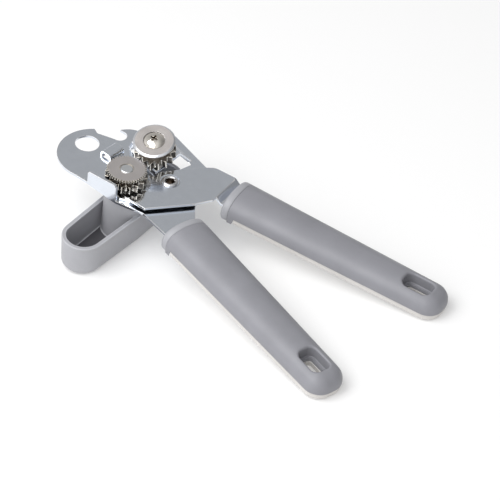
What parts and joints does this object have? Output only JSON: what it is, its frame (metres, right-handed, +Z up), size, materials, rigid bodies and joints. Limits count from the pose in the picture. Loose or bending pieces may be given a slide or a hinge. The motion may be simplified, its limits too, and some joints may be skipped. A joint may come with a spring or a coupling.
{
  "type": "manual can opener",
  "caption": "Pliers-type manual can opener: two grey handles on riveted steel plates, a serrated feed wheel, a tilted cutting wheel and a turning knob.",
  "frame": {"origin": "centre of the footprint of the tool as it lies on a table, on the table's surface", "axes": "+Z up from the table; +X runs back along the middle line between the handles; +Y is the side of the handle that carries the feed wheel"},
  "size_m": [0.2042, 0.1086, 0.0512],
  "materials": {
    "plated_steel": "bright nickel-chrome plating over pressed steel",
    "rivet_steel": "rolled, bright plated steel",
    "turned_steel": "turned, dull plated steel",
    "screw_steel": "polished pan-head screw",
    "shaft_steel": "faced shaft end",
    "wheel_steel": "ground flat, fine grain, slightly warm",
    "cutting_steel": "ground face with a polished bevel",
    "gear_steel": "dark blanked teeth, slightly brassy",
    "grip_grey": "satin soft-touch moulding",
    "collar_grey": "satin moulding, lighter than the grip",
    "shell_cream": "fine matt moulding",
    "knob_grey": "satin moulding"
  },
  "bodies": {
    "cutter_arm": {"cutter_plate": "plated_steel", "pivot_rivet": "rivet_steel", "pivot_spacer": "turned_steel", "cutter_post": "turned_steel", "spring_washer": "turned_steel", "cutter_screw": "screw_steel", "front_handle_grip": "grip_grey", "front_handle_base": "shell_cream", "front_handle_collar": "collar_grey"},
    "feed_arm": {"feed_plate": "plated_steel", "feed_bush": "turned_steel", "feed_keeper": "turned_steel", "rear_handle_grip": "grip_grey", "rear_handle_base": "shell_cream", "rear_handle_collar": "collar_grey"},
    "feed_drive": {"feed_shaft": "shaft_steel", "feed_wheel": "wheel_steel", "feed_gear": "gear_steel", "knob_washer": "turned_steel", "knob": "knob_grey", "knob_retainer": "turned_steel"},
    "cutter": {"cutting_wheel": "cutting_steel", "cutter_spacer": "turned_steel", "cutter_gear": "gear_steel"}
  },
  "joints": [
    {"name": "handle_squeeze", "type": "hinge", "parent": "cutter_arm", "child": "feed_arm", "pos_m": [-0.04166, 0.00424, 0.03004], "axis": [-0.1328, 0, -0.9911], "range_deg": [0, 11.41]},
    {"name": "feed_turn", "type": "hinge", "parent": "feed_arm", "child": "feed_drive", "pos_m": [-0.05612, -0.01237, 0.03198], "axis": [0.1328, 0, 0.9911], "continuous": true},
    {"name": "cutter_turn", "type": "hinge", "parent": "cutter_arm", "child": "cutter", "pos_m": [-0.05793, 0.01115, 0.03684], "axis": [0.1681, -0.2215, 0.9606], "continuous": true}
  ],
  "couplings": [
    {"joint": "cutter_turn", "follows": "feed_turn", "ratio": -1}
  ]
}
